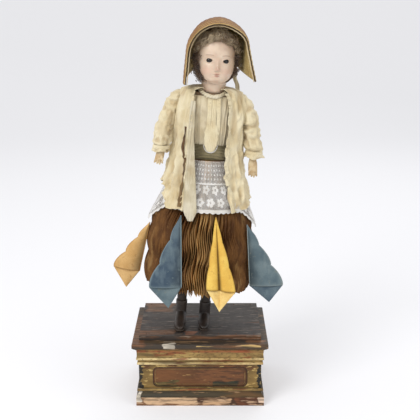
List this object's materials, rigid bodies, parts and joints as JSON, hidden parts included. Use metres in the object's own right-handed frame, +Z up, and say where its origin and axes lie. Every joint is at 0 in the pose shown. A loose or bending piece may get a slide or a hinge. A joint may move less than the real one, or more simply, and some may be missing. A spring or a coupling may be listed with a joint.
{
  "type": "crank automaton with a standing figure",
  "caption": "Hand cranked automaton: a dressed lady with a skirt of folded paper leaves on a gilded wooden case, whose crank lifts her arms and turns her head.",
  "frame": {"origin": "centre of the case's footprint on the surface that it stands on", "axes": "+Z up; the figure faces -Y; +X is to the right of someone who looks at its front"},
  "size_m": [0.1867, 0.1496, 0.4238],
  "materials": {
    "worn_plinth_wood": "worn paint over pale wood",
    "gilt_moulding": "rubbed gilding over red bole",
    "painted_panel": "olive gold paint, aged",
    "case_wood": "dark paint on wood",
    "dark_top": "dark streaked paint",
    "raw_wood": "raw pine",
    "iron": "dark iron",
    "steel": "drawn wire, dulled",
    "brass": "aged brass",
    "knob_wood": "turned and polished",
    "boot_black": "worn black",
    "leg_black": "black paint",
    "composition": "plain carved wood",
    "wax": "tinted wax, mottled",
    "eye_glass": "dark glass",
    "mohair": "curled mohair",
    "straw": "straw plait",
    "cotton_cream": "thin aged cotton",
    "blouse_cotton": "pleated cotton",
    "sash_mesh": "green brown gauze",
    "lace_white": "cotton lace",
    "leaf_paper": "folded printed paper, brown edges",
    "buff_paper": "buff paper",
    "blue_paper": "blue paper",
    "yellow_paper": "yellow paper",
    "grey_blue_paper": "grey blue paper",
    "kid": "kid leather"
  },
  "bodies": {
    "base": {"back_panel": "case_wood", "base_moulding": "gilt_moulding", "blouse": "blouse_cotton", "bottom_board": "worn_plinth_wood", "bottom_screws": "iron", "corner_blocks": "raw_wood", "cornice_slab": "case_wood", "crank_bush": "brass", "front_bearing_block": "raw_wood", "front_panel": "painted_panel", "front_ribbon": "cotton_cream", "hip_block": "composition", "jacket": "cotton_cream", "lace_overskirt": "lace_white", "left_boot": "boot_black", "left_leg": "leg_black", "left_panel": "case_wood", "lever_brackets": "raw_wood", "lever_pivot_pins": "steel", "lever_rest_posts": "raw_wood", "neck_trim": "blouse_cotton", "paper_skirt": "leaf_paper", "raised_top_board": "dark_top", "right_boot": "boot_black", "right_leg": "leg_black", "right_panel": "case_wood", "shoulder_block": "composition", "torso_back_shell": "composition", "torso_front_shell": "composition", "upper_moulding": "gilt_moulding", "waist_sash": "sash_mesh"},
    "crankshaft": {"camshaft": "steel", "crank_arm": "iron", "left_arm_cam": "raw_wood", "right_arm_cam": "raw_wood", "head_cam": "raw_wood"},
    "knob": {"crank_knob": "knob_wood"},
    "left_lever": {"left_arm_lever": "raw_wood"},
    "right_lever": {"right_arm_lever": "raw_wood"},
    "neck_lever": {"head_lever": "raw_wood"},
    "left_rod": {"left_arm_rod": "steel"},
    "right_rod": {"right_arm_rod": "steel"},
    "neck_rod": {"head_rod": "steel"},
    "bell": {"bell_crank": "brass"},
    "left_arm_body": {"left_shoulder_axle": "steel", "left_arm": "kid", "left_sleeve": "cotton_cream"},
    "right_arm_body": {"right_shoulder_axle": "steel", "right_arm": "kid", "right_sleeve": "cotton_cream"},
    "head": {"head_shell": "wax", "glass_eyes": "eye_glass", "wig": "mohair", "bonnet": "straw", "bonnet_tie": "cotton_cream", "neck_spindle": "steel"},
    "buff_page": {"buff_leaf": "buff_paper"},
    "left_blue_page": {"left_blue_leaf": "blue_paper"},
    "yellow_page": {"yellow_leaf": "yellow_paper"},
    "right_blue_page": {"right_blue_leaf": "grey_blue_paper"}
  },
  "joints": [
    {"name": "crank_turn", "type": "hinge", "parent": "base", "child": "crankshaft", "pos_m": [-0.012, 0, 0.032], "axis": [0, 1, 0], "continuous": true},
    {"name": "knob_spin", "type": "hinge", "parent": "crankshaft", "child": "knob", "pos_m": [-0.012, 0.0655, 0.012], "axis": [0, 1, 0], "continuous": true},
    {"name": "left_arm_lift", "type": "hinge", "parent": "base", "child": "left_arm_body", "pos_m": [-0.02776, 0.001, 0.33387], "axis": [-0.9969, 0, 0.0785], "range_deg": [0, 35]},
    {"name": "right_arm_lift", "type": "hinge", "parent": "base", "child": "right_arm_body", "pos_m": [0.05199, 0.001, 0.32759], "axis": [-0.9969, 0, 0.0785], "range_deg": [0, 35]},
    {"name": "left_rod_slide", "type": "slide", "parent": "base", "child": "left_rod", "axis": [0.0785, 0, 0.9969], "range_m": [0, 0.00429]},
    {"name": "right_rod_slide", "type": "slide", "parent": "base", "child": "right_rod", "axis": [0.0785, 0, 0.9969], "range_m": [0, 0.00429]},
    {"name": "left_lever_swing", "type": "hinge", "parent": "base", "child": "left_lever", "pos_m": [-0.05508, -0.02, 0.0512], "axis": [0, -1, 0], "range_deg": [0, 8.32]},
    {"name": "right_lever_swing", "type": "hinge", "parent": "base", "child": "right_lever", "pos_m": [0.03101, -0.01, 0.0512], "axis": [0, 1, 0], "range_deg": [0, 8.32]},
    {"name": "head_turn", "type": "hinge", "parent": "base", "child": "head", "pos_m": [0.01452, -0.004, 0.34859], "axis": [0.0785, 0, 0.9969], "range_deg": [-12, 12]},
    {"name": "bell_crank_swing", "type": "hinge", "parent": "base", "child": "bell", "pos_m": [0.0214, 0.0034, 0.30593], "axis": [-0.9969, 0, 0.0785], "range_deg": [-12, 12]},
    {"name": "head_rod_slide", "type": "slide", "parent": "base", "child": "neck_rod", "axis": [0.0785, 0, 0.9969], "range_m": [-0.00118, 0.00118]},
    {"name": "head_lever_swing", "type": "hinge", "parent": "base", "child": "neck_lever", "pos_m": [0.03101, 0.004, 0.0512], "axis": [0, 1, 0], "range_deg": [-2.29, 2.29]},
    {"name": "buff_leaf_lift", "type": "hinge", "parent": "base", "child": "buff_page", "pos_m": [-0.056, -0.014, 0.20318], "axis": [-0.1697, 0.9854, 0.0134], "range_deg": [0, 24]},
    {"name": "left_blue_leaf_lift", "type": "hinge", "parent": "base", "child": "left_blue_page", "pos_m": [-0.01948, -0.055, 0.22237], "axis": [-0.9088, 0.4111, 0.0715], "range_deg": [0, 24]},
    {"name": "yellow_leaf_lift", "type": "hinge", "parent": "base", "child": "yellow_page", "pos_m": [0.01712, -0.0568, 0.221], "axis": [-0.9654, -0.2494, 0.076], "range_deg": [0, 24]},
    {"name": "right_blue_leaf_lift", "type": "hinge", "parent": "base", "child": "right_blue_page", "pos_m": [0.05097, -0.0355, 0.2063], "axis": [-0.543, -0.8386, 0.0427], "range_deg": [0, 24]}
  ],
  "couplings": [
    {"joint": "left_rod_slide", "follows": "left_arm_lift", "m_per_rad": 0.007},
    {"joint": "left_lever_swing", "follows": "left_arm_lift", "ratio": 0.23729},
    {"joint": "right_rod_slide", "follows": "right_arm_lift", "m_per_rad": 0.007},
    {"joint": "right_lever_swing", "follows": "right_arm_lift", "ratio": 0.23729},
    {"joint": "bell_crank_swing", "follows": "head_turn", "ratio": 1},
    {"joint": "head_rod_slide", "follows": "head_turn", "m_per_rad": 0.0056},
    {"joint": "head_lever_swing", "follows": "head_turn", "ratio": 0.18983}
  ]
}
